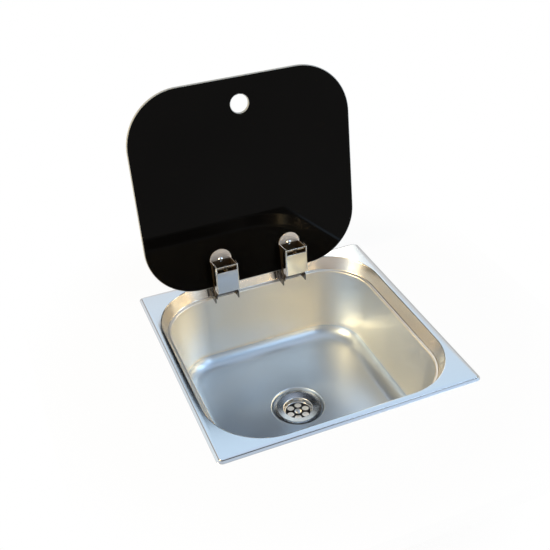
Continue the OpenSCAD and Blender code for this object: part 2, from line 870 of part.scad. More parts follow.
bowl();
rim_seal();
clamp_brackets();
clamp_screws();
clamp_pads();
strainer();
strainer_screw();
strainer_washer();
waste_seal();
waste_body();
screw_insert();
tail_seal();
hose_tail();
hose_nut();
color("silver") hinge(-1) bracket();  // left_bracket
color("silver") hinge(1) bracket();  // right_bracket
bracket_rivets();
color("gainsboro") hinge(-1) pivot_pin();  // left_pivot_pin
color("gainsboro") hinge(1) pivot_pin();  // right_pivot_pin
color("gray") hinge(-1) drum();  // left_drum
color("gray") hinge(1) drum();  // right_drum
lid_glass();
color("silver") swing_open() hinge(-1) frame();  // left_frame
color("silver") swing_open() hinge(1) frame();  // right_frame
color("gainsboro") swing_open() hinge(-1) cover();  // left_cover
color("gainsboro") swing_open() hinge(1) cover();  // right_cover
pivot_bushes();
cross_pins();
color("dimgray") swing_open() hinge(-1) shoe();  // left_shoe
color("dimgray") swing_open() hinge(1) shoe();  // right_shoe
color("gray") swing_open() hinge(-1) spring();  // left_spring
color("gray") swing_open() hinge(1) spring();  // right_spring
color("gray") swing_open() hinge(-1) guide();  // left_guide
color("gray") swing_open() hinge(1) guide();  // right_guide
disc_screws();
glass_gaskets();
outer_gaskets();
outer_discs();
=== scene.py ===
import math

import bmesh
import bpy
from mathutils import Matrix, Vector


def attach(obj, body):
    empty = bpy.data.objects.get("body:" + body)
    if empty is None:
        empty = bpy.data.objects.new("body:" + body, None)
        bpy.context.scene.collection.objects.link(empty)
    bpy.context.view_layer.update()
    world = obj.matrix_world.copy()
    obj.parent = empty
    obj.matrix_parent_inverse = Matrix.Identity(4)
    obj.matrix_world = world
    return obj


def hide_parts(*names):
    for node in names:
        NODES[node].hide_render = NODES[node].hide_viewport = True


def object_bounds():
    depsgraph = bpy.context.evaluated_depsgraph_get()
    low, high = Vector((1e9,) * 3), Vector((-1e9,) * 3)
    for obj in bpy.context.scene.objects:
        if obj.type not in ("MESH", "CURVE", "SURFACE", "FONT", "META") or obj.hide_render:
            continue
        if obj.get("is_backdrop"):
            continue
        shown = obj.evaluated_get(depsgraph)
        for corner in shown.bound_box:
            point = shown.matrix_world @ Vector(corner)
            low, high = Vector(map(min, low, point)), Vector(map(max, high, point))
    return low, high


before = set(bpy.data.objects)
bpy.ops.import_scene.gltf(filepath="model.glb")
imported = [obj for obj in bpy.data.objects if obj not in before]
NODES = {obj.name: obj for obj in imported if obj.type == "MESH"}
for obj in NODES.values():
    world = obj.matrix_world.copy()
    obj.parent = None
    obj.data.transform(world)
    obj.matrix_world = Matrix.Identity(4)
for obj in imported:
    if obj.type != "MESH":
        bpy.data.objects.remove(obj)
cad_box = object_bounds()

MM = 0.001

# ---------------------------------------------------------------- camera
# Fitted to the photo: angles in radians, places in metres, lens and sensor in millimetres
CAMERA_PITCH, CAMERA_YAW, CAMERA_ROLL = 0.605574, 0.367117, 0.040416
CAMERA_PLACE = (-0.4030, -0.9575, 0.8391)
CAMERA_LENS, CAMERA_SENSOR = 55.14, 36
CAMERA_NEAR = 0.01

# ---------------------------------------------------------------- sizes in millimetres
# These follow the CAD source. The bowl's plan is at every height a square with round corners, and
# so is the rim's. CORE and RIM_CORE are half the squares between the centres of the corners, and
# a point of a profile is how far it lies out from there, and its height.
SHEET = 1.0
CORE = 97.5
RIM_CORE = 196.0
RIM_H = 4.0
FLOOR_Z = -147.0
LEDGE_Z = -19.0
SEAT_Z = -152.0
WASTE_X = -3.0
WALL_FOOT, WALL_HEAD = 64.65, 81.5
LEDGE_END = 86.0
MOUTH, MOUTH_END = 94.0, 96.9
WELL = [
    (0, FLOOR_Z), (WALL_FOOT, FLOOR_Z), (WALL_HEAD, LEDGE_Z), (LEDGE_END, LEDGE_Z),
    (MOUTH, RIM_H), (MOUTH_END, RIM_H),
]
WELL_FILLETS = [28, 3, 2.5, 1.9]
# The waste seat's points are radii about the waste's axis
SEAT = [(33, SEAT_Z), (42, SEAT_Z), (45, FLOOR_Z), (49, FLOOR_Z)]
SEAT_FILLETS = [1.5, 2.5]
# The rim is flat for this share of its width, and then falls 0.3 mm to the lip at its outer edge
RIM_FLAT_SHARE = 0.45
LIP = [(3.2, 3.7), (4.5, 3.58), (5.3, 2.4), (9.2, 1)]
LIP_FILLETS = [1.1, 0.66, 0.55]
LIP_END = (9.2, 0.2)
LIP_UNDER_END = (7.7, 1.538)
HEM = [(9.0, 0), (7.7, 0)]
# Where one finish of the sheet ends and the next begins. Between CREASE_LOW and CREASE_HIGH the
# lip's step gets painted shade, near-black steel along the crease.
WALL_FROM, RECESS_FROM = 66.0, 85.5
RIM_FROM, RIM_ABOVE = 94.5, 3.6
CREASE_LOW, CREASE_HIGH = 2.35, 3.3

LID_W, LID_L, LID_R, LID_T = 376.0, 350.0, 90.0, 5.0
LID_EDGE = [(-1.1, 0), (-0.75, -0.04), (-0.35, -0.25), (-0.1, -0.6), (0, -1.1)]
FINGER_R, FINGER_INSET = 15.0, 43.4
LID_FOOT = Vector((0, 174.95, 6.36))
LID_TILT = math.radians(7.5)
LID_UP = Vector((0, math.sin(LID_TILT), math.cos(LID_TILT)))
LID_OUT = Vector((0, -math.cos(LID_TILT), math.sin(LID_TILT)))

GRID_Z = -159.8
GRID_T = 1.2
GRID_TURN = 8
GRID_HOLES = 6
GRID_HOLE_R, GRID_CIRCLE_R, SCREW_HOLE_R = 5.8, 14.3, 3.3
WEB_R = 20.4
HOLE_EDGE = [(0.3, 0), (0.12, 0.06), (0, 0.3), (0, GRID_T)]
FLANGE_TOP_Z = -149.8
FLANGE = [(0, GRID_Z), (21.8, GRID_Z), (24, -152.2), (35.5, FLANGE_TOP_Z), (40.5, FLANGE_TOP_Z)]
FLANGE_FILLETS = [1.5, 2, 10]
FLANGE_EDGE = [(40.1, FLANGE_TOP_Z), (40.4, -149.92), (40.5, -150.2)]
BARREL_R = 28.5

HINGE_X = 62.5
DISC_UP = 50.0
COVER_HALF, COVER_LEN, COVER_DEEP, COVER_WALL = 19.0, 51.22, 12.0, 1.0
COVER_LEAN = math.radians(5.3)
COVER_BEND_R = 1.4
COVER_UP, COVER_OUT = 1.0, 29.0
COVER_ROWS = [0, 20, 40.2, 49.4, COVER_LEN]
COVER_SLOT_HALF, COVER_SLOT_ROW = 17.2, 2

# ---------------------------------------------------------------- mesh steps
CORNER_STEPS, SIDE_STEPS = 30, 10
FLANGE_STEPS, SCREW_HOLE_STEPS = 96, 24
WEB_ARC_STEPS, WEB_SIDE_STEPS, WEB_HUB_STEPS = 16, 9, 4
FLOOR_STEPS = 4
BEND_STEP = math.radians(7.5)
SHARP_ANGLE, COVER_SHARP_ANGLE = 35, 30
BEVEL_ANGLE, COVER_BEVEL_ANGLE = 30, 50
COVER_BEVEL = 0.2
BEVEL_SEGMENTS = 2
MERGE_WITHIN = 0.01

# ---------------------------------------------------------------- stage, lamps and world
WORKTOP_CUT_R = 96
WORKTOP_CORE, WORKTOP_R = 368, 32
WORKTOP_TOP, WORKTOP_UNDER = -0.05, -28
WORKTOP_EDGE = [(-2, WORKTOP_TOP), (-0.5, -0.6), (0, -2), (0, WORKTOP_UNDER)]
# From here on in metres
FLOOR_HALF, FLOOR_AT = 6, -0.2415
# The stage's share of real shading near the object, and the distances between which it fades
STAGE_SHADE, SHADE_TO, SHADE_GONE = 0.07, 0.34, 0.46

# Metres and watts. All lamps have the same width and look at one point
LAMP_TARGET = Vector((0, 0, -0.1))
LAMP_WIDTH = 0.4
LAMPS = [
    # name, place, height, power, colour
    ("strip_left", (-2.4, 0.0, 1.15), 2.2, 46, (1.0, 0.76, 0.40)),
    ("strip_front_left", (-2.32, -0.62, 1.15), 2.2, 15, (1.0, 0.95, 0.68)),
    ("strip_right", (2.18, -1.01, 1.15), 2.2, 14, (0.6, 0.8, 1.0)),
    ("box_rear_right", (0.81, 1.82, 1.34), 0.5, 1.3, (1.0, 0.92, 0.72)),
    ("strip_front_right", (1.2, -2.08, 1.15), 2.2, 10.5, (0.6, 0.8, 1.0)),
]

# The room's colours at these sines of the elevation, for the side that each direction points to.
# All sides share the last colour, the ceiling's. The ramps hold no more than 1, so they keep the
# colours divided by ROOM_LEVEL, and the world's strength gives it back.
ROOM_LEVEL = 1.7
ROOM_STOPS = [0.0, 0.28, 0.45, 0.7, 0.92, 1.0]
CEILING = (0.55, 0.60, 0.66)
ROOM = {
    (0, 1, 0): [
        (0.57, 0.58, 0.60), (0.55, 0.53, 0.52), (0.82, 0.76, 0.74),
        (0.73, 0.93, 1.12), (0.63, 0.72, 0.92), CEILING,
    ],
    (1, 0, 0): [
        (0.62, 0.62, 0.64), (0.52, 0.51, 0.46), (0.70, 0.66, 0.60),
        (0.60, 0.80, 1.02), (0.64, 0.76, 0.96), CEILING,
    ],
    (0, -1, 0): [
        (0.54, 0.46, 0.38), (0.07, 0.06, 0.06), (0.55, 0.47, 0.36),
        (0.04, 0.10, 0.19), (0.40, 0.45, 0.50), CEILING,
    ],
    (-1, 0, 0): [
        (0.28, 0.25, 0.27), (0.21, 0.11, 0.05), (0.56, 0.42, 0.35),
        (1.55, 1.19, 0.68), (0.50, 0.48, 0.46), CEILING,
    ],
}
# Sines of the elevation between which the white background gives way to the room
WHITE_TO, WHITE_GONE = 0.03, 0.09


def add_camera():
    forward = Vector((
        math.cos(CAMERA_PITCH) * math.sin(CAMERA_YAW),
        math.cos(CAMERA_PITCH) * math.cos(CAMERA_YAW),
        -math.sin(CAMERA_PITCH),
    ))
    right = Vector((math.cos(CAMERA_YAW), -math.sin(CAMERA_YAW), 0))
    down = forward.cross(right)
    image_x = right * math.cos(CAMERA_ROLL) + down * math.sin(CAMERA_ROLL)
    image_y = down * math.cos(CAMERA_ROLL) - right * math.sin(CAMERA_ROLL)
    data = bpy.data.cameras.new("camera")
    data.lens = CAMERA_LENS
    data.sensor_width = CAMERA_SENSOR
    data.sensor_fit = "HORIZONTAL"
    data.clip_start = CAMERA_NEAR
    camera = bpy.data.objects.new("camera", data)
    bpy.context.scene.collection.objects.link(camera)
    turn = Matrix((image_x, -image_y, -forward)).transposed()
    camera.matrix_world = Matrix.Translation(CAMERA_PLACE) @ turn.to_4x4()
    bpy.context.scene.camera = camera


# ---------------------------------------------------------------- node helpers
# A noise stays mostly between these values
NOISE_LOW, NOISE_HIGH = 0.3, 0.7


class Nodes:
    """Short calls that add nodes to a tree and link them."""

    def __init__(self, tree):
        self.tree = tree
        tree.nodes.clear()
        self.coords = self.add("ShaderNodeTexCoord")

    def add(self, kind, **values):
        node = self.tree.nodes.new(kind)
        for name, value in values.items():
            setattr(node, name, value)
        return node

    def put(self, socket, value):
        """Link an output to the socket, or give the socket a constant."""
        if isinstance(value, bpy.types.NodeSocket):
            self.tree.links.new(value, socket)
        elif socket.type == "RGBA":
            socket.default_value = (*value, 1)
        else:
            socket.default_value = value

    def noise(self, scale, detail=2.0, vector=None):
        node = self.add("ShaderNodeTexNoise")
        self.put(node.inputs["Scale"], scale)
        self.put(node.inputs["Detail"], detail)
        self.put(node.inputs["Vector"], vector or self.coords.outputs["Object"])
        return node.outputs[0]

    def ramp(self, source, stops):
        node = self.add("ShaderNodeValToRGB")
        for i, (place, colour) in enumerate(stops):
            elements = node.color_ramp.elements
            element = elements[i] if i < 2 else elements.new(place)
            element.position = place
            element.color = (*colour, 1)
        self.put(node.inputs[0], source)
        return node.outputs[0]

    def tones(self, noise, low, high):
        return self.ramp(noise, [(NOISE_LOW, low), (NOISE_HIGH, high)])

    def spread(self, source, low, high, start=NOISE_LOW, end=NOISE_HIGH):
        """The source, stretched so that start becomes low and end becomes high."""
        node = self.add("ShaderNodeMapRange")
        self.put(node.inputs["From Min"], start)
        self.put(node.inputs["From Max"], end)
        self.put(node.inputs["To Min"], low)
        self.put(node.inputs["To Max"], high)
        self.put(node.inputs[0], source)
        return node.outputs[0]

    def mix(self, factor, a, b):
        node = self.add("ShaderNodeMix", data_type="RGBA")
        for i, value in ((0, factor), (6, a), (7, b)):
            self.put(node.inputs[i], value)
        return node.outputs[2]

    def maths(self, operation, a, b):
        node = self.add("ShaderNodeMath", operation=operation)
        self.put(node.inputs[0], a)
        self.put(node.inputs[1], b)
        return node.outputs[0]

    def vector(self, operation, *operands, scale=None):
        node = self.add("ShaderNodeVectorMath", operation=operation)
        for i, operand in enumerate(operands):
            self.put(node.inputs[i], operand)
        if scale is not None:
            self.put(node.inputs["Scale"], scale)
        return node.outputs["Value" if operation in ("DOT_PRODUCT", "LENGTH") else "Vector"]

    def bump(self, height, strength, distance, below=None):
        node = self.add("ShaderNodeBump")
        self.put(node.inputs["Strength"], strength)
        self.put(node.inputs["Distance"], distance)
        self.put(node.inputs["Height"], height)
        if below is not None:
            self.put(node.inputs["Normal"], below)
        return node.outputs[0]

    def background_rays(self):
        """1 for the rays that show the background: from the camera, in mirrors, through glass."""
        path = self.add("ShaderNodeLightPath").outputs
        seen = self.maths("MAXIMUM", path["Is Camera Ray"], path["Is Glossy Ray"])
        return self.maths("MAXIMUM", seen, path["Is Transmission Ray"])

    def blend(self, factor, first, second):
        node = self.add("ShaderNodeMixShader")
        for i, value in enumerate((factor, first, second)):
            self.put(node.inputs[i], value)
        return node.outputs[0]


class Shader(Nodes):
    """A material with one Principled shader."""

    def __init__(self, name, **sockets):
        self.material = bpy.data.materials.new(name)
        self.material.use_nodes = True
        super().__init__(self.material.node_tree)
        self.bsdf = self.add("ShaderNodeBsdfPrincipled")
        self.surface = self.add("ShaderNodeOutputMaterial").inputs["Surface"]
        self.put(self.surface, self.bsdf.outputs[0])
        for socket, value in sockets.items():
            self.feed(socket.replace("_", " "), value)

    def feed(self, socket, value):
        self.put(self.bsdf.inputs[socket], value)


# ---------------------------------------------------------------- materials
def scaled(colour, factor):
    return tuple(min(1, c * factor) for c in colour)


def satin_steel(name, colour, rough, anisotropy=0.0, metal=1.0):
    """Fine satin steel. With anisotropy, highlights stretch up and down the walls."""
    s = Shader(name, Metallic=metal, Roughness=rough, Anisotropic=anisotropy)
    grain = s.noise(2600, detail=3)
    cloud = s.noise(7, detail=3)
    s.feed("Base Color", s.tones(cloud, scaled(colour, 0.96), colour))
    s.feed("Roughness", s.spread(grain, rough * 0.93, rough * 1.07))
    waves = s.bump(cloud, strength=0.1, distance=0.0003)
    s.feed("Normal", s.bump(grain, strength=0.2, distance=0.00002, below=waves))
    if anisotropy:
        tangent = s.add("ShaderNodeTangent", direction_type="RADIAL", axis="Z")
        s.feed("Tangent", tangent.outputs[0])
    return s.material


def rim_steel():
    """Steel brushed from left to right."""
    s = Shader("rim_steel", Metallic=1.0, Roughness=0.18)
    along = s.add("ShaderNodeMapping")
    s.put(along.inputs["Scale"], (0.05, 1, 1))
    s.put(along.inputs["Vector"], s.coords.outputs["Object"])
    grain = s.noise(3000, detail=2, vector=along.outputs[0])
    s.feed("Base Color", s.tones(s.noise(5, detail=2), (0.77, 0.80, 0.82), (0.81, 0.835, 0.85)))
    s.feed("Roughness", s.spread(grain, 0.15, 0.21))
    s.feed("Normal", s.bump(grain, strength=0.2, distance=0.00001))
    return s.material


def polished(name, colour, rough):
    s = Shader(name, Metallic=1.0, Roughness=rough)
    cloud = s.noise(35, detail=3)
    s.feed("Base Color", s.tones(cloud, colour, scaled(colour, 1.06)))
    s.feed("Roughness", s.spread(s.noise(900, detail=2), rough * 0.85, rough * 1.25))
    s.feed("Normal", s.bump(cloud, strength=0.1, distance=0.0003))
    return s.material


def plated(name, colour, rough):
    s = Shader(name, Metallic=1.0, Roughness=rough)
    grain = s.noise(500, detail=4)
    s.feed("Base Color", s.tones(grain, scaled(colour, 0.9), colour))
    s.feed("Roughness", s.spread(grain, rough * 0.8, rough * 1.3))
    s.feed("Normal", s.bump(grain, strength=0.2, distance=0.00003))
    return s.material


def moulded(name, colour, rough, grain_scale=900):
    s = Shader(name, Roughness=rough)
    grain = s.noise(grain_scale, detail=4)
    s.feed("Base Color", s.tones(s.noise(40, detail=2), scaled(colour, 0.94), colour))
    s.feed("Roughness", s.spread(grain, rough * 0.85, min(1, rough * 1.15)))
    s.feed("Normal", s.bump(grain, strength=0.25, distance=0.00005))
    return s.material


def frame_steel_painted_shade():
    """Bright steel above the middle of the hinge's round plate, and painted shade below it: brown
    near-black for the shadow and reflections in the channel.
    """
    bright, painted_shade, rough = (0.88, 0.81, 0.75), (0.17, 0.125, 0.08), 0.45
    s = Shader("hinge_frame_steel", Metallic=1.0, Roughness=rough)
    fine = s.noise(1500, detail=2)
    from_foot = s.vector("SUBTRACT", s.coords.outputs["Object"], LID_FOOT * MM)
    up_lid = s.vector("DOT_PRODUCT", from_foot, LID_UP)
    # below is 1 under the plate's middle, where the painted shade goes.
    below = s.spread(up_lid, 1, 0, (DISC_UP - 0.6) * MM, (DISC_UP + 0.2) * MM)
    above = s.tones(s.noise(60, detail=3), bright, scaled(bright, 1.05))
    s.feed("Base Color", s.mix(below, above, painted_shade))
    s.feed("Roughness", s.spread(fine, rough * 0.9, rough * 1.15))
    s.feed("Normal", s.bump(fine, strength=0.1, distance=0.00002))
    return s.material


def trap_plastic_painted_glow():
    """White plastic with painted light within the barrel: a glow for the light that comes through
    its wall.
    """
    s = Shader("waste_body_plastic_painted_glow", Roughness=0.4, Emission_Strength=0.22)
    grain = s.noise(900, detail=4)
    s.feed("Base Color", s.tones(s.noise(40, detail=2), (0.80, 0.80, 0.78), (0.86, 0.86, 0.84)))
    s.feed("Roughness", s.spread(grain, 0.34, 0.46))
    s.feed("Normal", s.bump(grain, strength=0.25, distance=0.00005))
    from_axis = s.vector(
        "MULTIPLY_ADD", s.coords.outputs["Object"], (1, 1, 0), (-WASTE_X * MM, 0, 0))
    # The painted glow's mask: 1 within the barrel's radius.
    inside = s.spread(
        s.vector("LENGTH", from_axis), 1, 0, (BARREL_R - 0.3) * MM, (BARREL_R + 0.1) * MM)
    s.feed("Emission Color", s.mix(inside, (0, 0, 0), (1.0, 0.98, 0.95)))
    return s.material


def black_glass():
    s = Shader("black_glass", Roughness=0.03, Specular_IOR_Level=0.05)
    black = s.tones(s.noise(4, detail=2), (0.0016, 0.0013, 0.0011), (0.0030, 0.0027, 0.0024))
    s.feed("Base Color", black)
    s.feed("Roughness", s.spread(s.noise(60, detail=2), 0.02, 0.05))
    return s.material


def ground_glass():
    s = Shader("ground_glass_edge", Roughness=0.35)
    grain = s.noise(2500, detail=3)
    s.feed("Base Color", s.tones(grain, (0.30, 0.31, 0.31), (0.42, 0.43, 0.43)))
    s.feed("Roughness", s.spread(grain, 0.28, 0.45))
    s.feed("Normal", s.bump(grain, strength=0.3, distance=0.00003))
    return s.material


def stage_white(name):
    """White to background rays, with a faint share of real shading near the object."""
    s = Shader(name, Roughness=0.8, Specular_IOR_Level=0.1)
    s.feed("Base Color", s.tones(s.noise(300, detail=2), (0.80, 0.80, 0.80), (0.82, 0.82, 0.82)))
    white = s.add("ShaderNodeEmission")
    s.put(white.inputs["Color"], (1, 1, 1))
    away = s.vector("LENGTH", s.coords.outputs["Object"])
    plain = s.spread(away, 1 - STAGE_SHADE, 1, SHADE_TO, SHADE_GONE)
    share = s.maths("MULTIPLY", s.background_rays(), plain)
    s.put(s.surface, s.blend(share, s.bsdf.outputs[0], white.outputs[0]))
    return s.material


# key: material, most with its colour and roughness
MATERIALS = {
    # The floor's blue-grey and the walls' warm cream are painted reflection: one steel, tinted
    # with the room's blue top and warm side that these surfaces mirror.
    "floor_steel": satin_steel("bowl_floor_painted_reflection_steel", (0.64, 0.73, 0.83), 0.32, metal=0.84),
    "wall_steel": satin_steel("bowl_wall_painted_reflection_steel", (0.985, 0.93, 0.845), 0.34, anisotropy=0.9),
    "recess_steel": satin_steel("recess_steel", (0.88, 0.85, 0.80), 0.24, anisotropy=0.6),
    # Painted shade: near-black steel on the lip's step, for the shadow line along the crease.
    "crease": polished("rim_crease_painted_shade", (0.26, 0.26, 0.27), 0.3),
    "rim": rim_steel(),
    "polished": polished("polished_steel", (0.66, 0.67, 0.68), 0.18),
    # Near-black steel: painted reflection of the black lid on the strainer's grid, and painted
    # shade round the flange's edge.
    "grid": polished("grid_painted_black_steel", (0.055, 0.053, 0.05), 0.25),
    "screw": polished("screw_steel", (0.60, 0.60, 0.60), 0.28),
    "cover": polished("cover_chrome", (0.78, 0.77, 0.76), 0.12),
    "inner": polished("hinge_inner_steel", (0.30, 0.23, 0.15), 0.14),
    "frame": frame_steel_painted_shade(),
    # Near-black: painted shade and painted reflection of the black glass on the brackets and
    # pivot pins.
    "bracket": polished("bracket_painted_black_steel", (0.15, 0.135, 0.12), 0.2),
    "zinc": plated("zinc_plate", (0.62, 0.64, 0.66), 0.35),
    "brass": plated("insert_brass", (0.72, 0.52, 0.24), 0.3),
    "glass": black_glass(),
    "edge": ground_glass(),
    "foam": moulded("rim_foam", (0.05, 0.05, 0.052), 0.9, grain_scale=1500),
    "rubber": moulded("seal_rubber", (0.03, 0.03, 0.03), 0.7),
    "trap": trap_plastic_painted_glow(),
    "white": moulded("white_plastic", (0.78, 0.78, 0.76), 0.4),
    "nylon": moulded("nylon", (0.62, 0.60, 0.55), 0.45),
    "grey": moulded("grey_plastic", (0.20, 0.20, 0.20), 0.5),
    "worktop": stage_white("worktop_white"),
    "floor": stage_white("floor_white"),
}


# ---------------------------------------------------------------- mesh helpers
def filleted(points, radii):
    """The path through the points, with an arc of the given radius at each inner point."""
    points = [Vector(p) for p in points]
    path = [points[0]]
    for before, here, after, radius in zip(points, points[1:], points[2:], radii):
        u, v = (before - here).normalized(), (after - here).normalized()
        bend = math.pi - u.angle(v)
        reach = radius * math.tan(bend / 2)
        centre = here + (u + v).normalized() * (radius / math.cos(bend / 2))
        start, end = here + u * reach - centre, here + v * reach - centre
        first = math.atan2(start.y, start.x)
        sweep = (math.atan2(end.y, end.x) - first + math.pi) % (2 * math.pi) - math.pi
        steps = max(2, math.ceil(abs(sweep) / BEND_STEP))
        for k in range(steps + 1):
            a = first + sweep * k / steps
            path.append(centre + Vector((math.cos(a), math.sin(a))) * radius)
    path.append(points[-1])
    return path


def shifted(path, gap):
    """The path moved sideways by gap, to the right of its direction."""
    moved = []
    for i, here in enumerate(path):
        steps = []
        if i:
            steps.append(here - path[i - 1])
        if i < len(path) - 1:
            steps.append(path[i + 1] - here)
        sides = [Vector((d.y, -d.x)) for d in (step.normalized() for step in steps)]
        side = sum(sides, Vector((0, 0))).normalized()
        moved.append(here + side * (gap / side.dot(sides[0])))
    return moved


def flat(x, y):
    return x, y


def at_height(z):
    """A place function that puts the points of a ring at the height z."""
    return lambda x, y: Vector((x, y, z)) * MM


def square_ring(core_x, core_y, reach, place):
    """Points round a rectangle with round corners; place turns (x, y) into a 3-D point."""
    corners = [(core_x, core_y), (-core_x, core_y), (-core_x, -core_y), (core_x, -core_y)]
    ring = []
    for q, (cx, cy) in enumerate(corners):
        for k in range(CORNER_STEPS + 1):
            a = math.pi / 2 * (q + k / CORNER_STEPS)
            ring.append((cx + reach * math.cos(a), cy + reach * math.sin(a)))
        x, y = ring[-1]
        next_x, next_y = corners[(q + 1) % len(corners)]
        for k in range(1, SIDE_STEPS):
            t = k / SIDE_STEPS
            ring.append((x + (next_x - cx) * t, y + (next_y - cy) * t))
    return [place(x, y) for x, y in ring]


def round_ring(like, cx, cy, radius, place):
    """A circle with one point for each point of the flat ring like, at the same bearing."""
    ring = []
    for x, y in like:
        a = math.atan2(y - cy, x - cx)
        ring.append(place(cx + radius * math.cos(a), cy + radius * math.sin(a)))
    return ring


def strip(bm, rings, slots, closed=True):
    """Quads between consecutive rings. slots gives the material index of each band."""
    rows = [[bm.verts.new(p) for p in ring] for ring in rings]
    count = len(rows[0])
    bands = len(rows) if closed else len(rows) - 1
    for i in range(bands):
        a, b = rows[i], rows[(i + 1) % len(rows)]
        for j in range(count):
            k = (j + 1) % count
            face = bm.faces.new((a[j], a[k], b[k], b[j]))
            face.material_index = slots[i]
            face.smooth = True


def weigh_normals(obj):
    obj.modifiers.new("weighted", "WEIGHTED_NORMAL").keep_sharp = True


def bevel_edges(obj, width, angle):
    bevel = obj.modifiers.new("edges", "BEVEL")
    bevel.width = width * MM
    bevel.segments = BEVEL_SEGMENTS
    bevel.limit_method = "ANGLE"
    bevel.angle_limit = math.radians(angle)


def finish_mesh(name, bm, materials, sharp=SHARP_ANGLE, weighted=True):
    bmesh.ops.recalc_face_normals(bm, faces=bm.faces)
    mesh = bpy.data.meshes.new(name)
    bm.to_mesh(mesh)
    bm.free()
    mesh.set_sharp_from_angle(angle=math.radians(sharp))
    for material in materials:
        mesh.materials.append(MATERIALS[material])
    obj = bpy.data.objects.new(name, mesh)
    bpy.context.scene.collection.objects.link(obj)
    if weighted:
        weigh_normals(obj)
    return obj


# ---------------------------------------------------------------- bowl
# The sheet's finishes. The floor's and walls' tints are painted reflection, and the crease's
# near-black band is painted shade.
BOWL_FINISHES = ["floor_steel", "rim", "wall_steel", "recess_steel", "crease"]
ON_FLOOR, ON_RIM, ON_WALL, ON_RECESS, ON_CREASE_SHADE = range(len(BOWL_FINISHES))


def well_finish(d, z):
    if d > RIM_FROM and z > RIM_ABOVE:
        return ON_RIM
    if d > RECESS_FROM:
        return ON_RECESS
    return ON_WALL if d > WALL_FROM else ON_FLOOR


def build_bowl():
    """One closed sheet: up the inside from the waste hole, over the rim, and back underneath."""
    seat_top = filleted(SEAT, SEAT_FILLETS)
    well_top = filleted(WELL, WELL_FILLETS)[1:]
    lip_top = filleted(LIP + [LIP_END], LIP_FILLETS)
    lip_under = shifted(filleted(LIP[:-1] + [LIP_UNDER_END], LIP_FILLETS[:-1]), SHEET)
    like = square_ring(CORE, CORE, WALL_FOOT, flat)
    rings, slots = [], []

    def add_seat(path):
        for radius, z in path:
            rings.append(round_ring(like, WASTE_X, 0, radius, at_height(z)))
            slots.append(ON_FLOOR)

    def add_square(path, core, finish):
        for d, z in path:
            rings.append(square_ring(core, core, d, at_height(z)))
            slots.append(finish(d, z))

    add_seat(seat_top)
    add_square(well_top, CORE, well_finish)
    lip_start = square_ring(RIM_CORE, RIM_CORE, LIP[0][0], at_height(RIM_H))
    rings.append([a.lerp(b, RIM_FLAT_SHARE) for a, b in zip(rings[-1], lip_start)])
    slots.append(ON_RIM)
    # The step of the lip gets the crease's painted shade.
    add_square(lip_top, RIM_CORE,
               lambda d, z: ON_CREASE_SHADE if CREASE_LOW < z < CREASE_HIGH else ON_RIM)
    add_square(HEM + lip_under[::-1], RIM_CORE, lambda d, z: ON_RIM)
    add_square(shifted(well_top, SHEET)[::-1], CORE, lambda d, z: ON_WALL)
    add_seat(shifted(seat_top, SHEET)[::-1])
    bm = bmesh.new()
    strip(bm, rings, slots)
    obj = finish_mesh("bowl_sheet", bm, BOWL_FINISHES)
    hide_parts("bowl")
    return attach(obj, "sink")


# ---------------------------------------------------------------- lid
def on_lid(x, up, out):
    """A point of the open lid: sideways, up from its back edge, and out from its inner face."""
    return (Vector((x, 0, 0)) + LID_FOOT + LID_UP * up + LID_OUT * out) * MM


def build_lid():
    """The glass: over its edge to the outer face, and back through the finger hole."""
    core_x, core_y = LID_W / 2 - LID_R, LID_L / 2 - LID_R
    hole_y = LID_L - FINGER_INSET - LID_L / 2
    like = square_ring(core_x, core_y, LID_R, flat)
    edge = LID_EDGE + [(d, -LID_T - out) for d, out in LID_EDGE[::-1]]

    def at(out):
        return lambda x, y: on_lid(x, y + LID_L / 2, out)

    rings = [square_ring(core_x, core_y, LID_R + d, at(out)) for d, out in edge]
    rings += [round_ring(like, 0, hole_y, FINGER_R - d, at(out)) for d, out in edge[::-1]]
    bm = bmesh.new()
    strip(bm, rings, 2 * ([1] * (len(edge) - 1) + [0]))
    obj = finish_mesh("lid_panel", bm, ["glass", "edge"])
    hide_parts("lid_glass")
    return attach(obj, "lid")


# ---------------------------------------------------------------- strainer
def waste_circle(radius, z, count):
    angles = [2 * math.pi * k / count for k in range(count)]
    return [
        Vector((WASTE_X + radius * math.cos(a), radius * math.sin(a), z)) * MM for a in angles
    ]


def web_sector():
    """The outline of the web round one hole, and its points' bearings from the hole's middle."""
    half = math.pi / GRID_HOLES

    def arc(radius, start, steps):
        angles = [start * (1 - 2 * k / steps) for k in range(steps + 1)]
        return [(radius * math.cos(a), radius * math.sin(a)) for a in angles]

    rim = arc(WEB_R, -half, WEB_ARC_STEPS)
    hub = arc(SCREW_HOLE_R, half, WEB_HUB_STEPS)
    cos, sin = math.cos(half), math.sin(half)
    outer, inner = (math.atan2(r * sin, r * cos - GRID_CIRCLE_R) for r in (WEB_R, SCREW_HOLE_R))
    side = []
    for k in range(1, WEB_SIDE_STEPS):
        bearing = outer + (inner - outer) * k / WEB_SIDE_STEPS
        radius = GRID_CIRCLE_R / (cos - sin / math.tan(bearing))
        side.append((radius * cos, radius * sin))
    loop = rim + side + hub + [(x, -y) for x, y in side[::-1]]
    return loop, [math.atan2(y, x - GRID_CIRCLE_R) for x, y in loop]


